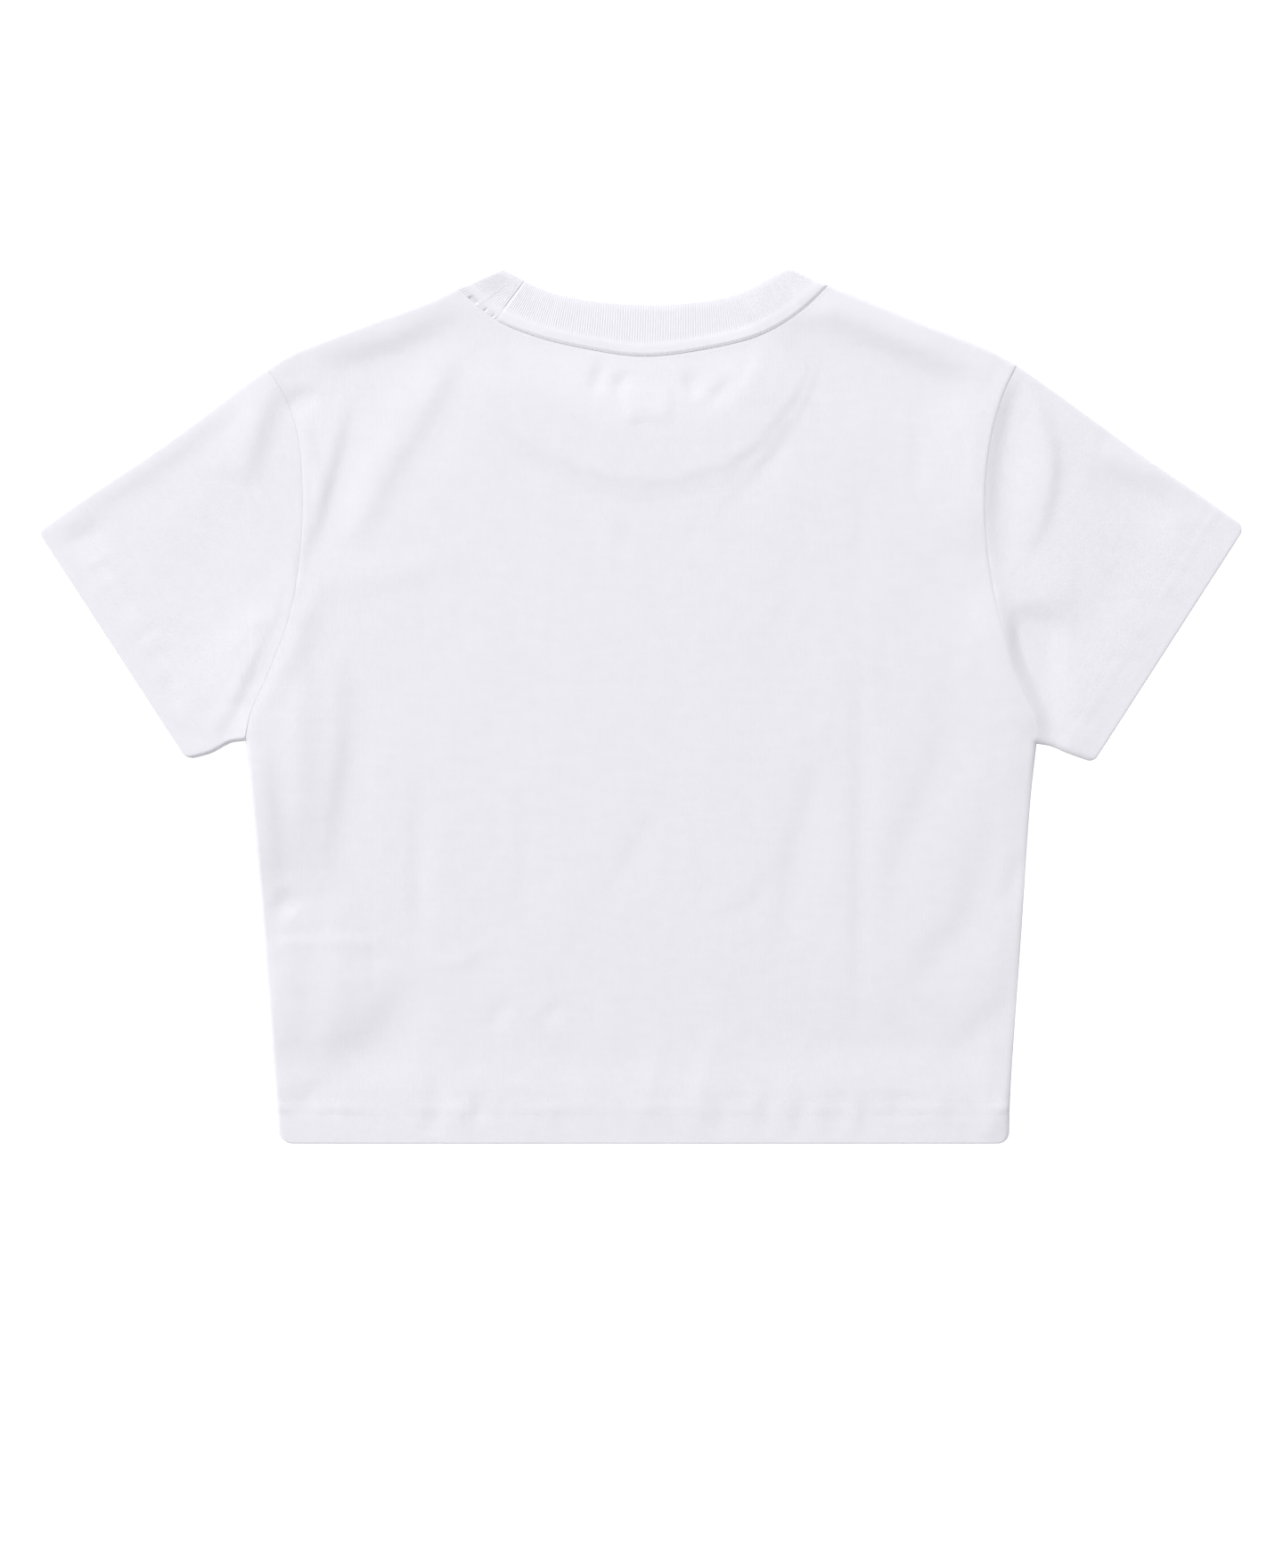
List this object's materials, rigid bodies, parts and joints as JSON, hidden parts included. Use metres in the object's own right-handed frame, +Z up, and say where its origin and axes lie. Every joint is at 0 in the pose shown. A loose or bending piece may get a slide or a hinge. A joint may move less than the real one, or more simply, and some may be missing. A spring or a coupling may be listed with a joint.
{
  "type": "crop top",
  "caption": "Cropped crew-neck T-shirt in plain jersey with set-in short sleeves and a ribbed neckband, laid flat face down.",
  "frame": {"origin": "under the middle of the shirt's box, on the surface that it lies on", "axes": "+X across the shirt towards the wearer's right sleeve, which spans it cuff to cuff; +Y from the hem to the neck; +Z up, out of the back panel"},
  "size_m": [0.6728, 0.49, 0.0066],
  "materials": {
    "jersey": "matt white single jersey with a faint cool cast",
    "rib_knit": "matt white one-by-one rib knit"
  },
  "bodies": {
    "root": {"back_panel": "jersey", "front_panel": "jersey", "sleeve_left": "jersey", "sleeve_right": "jersey", "neck_rib": "rib_knit"}
  },
  "joints": []
}
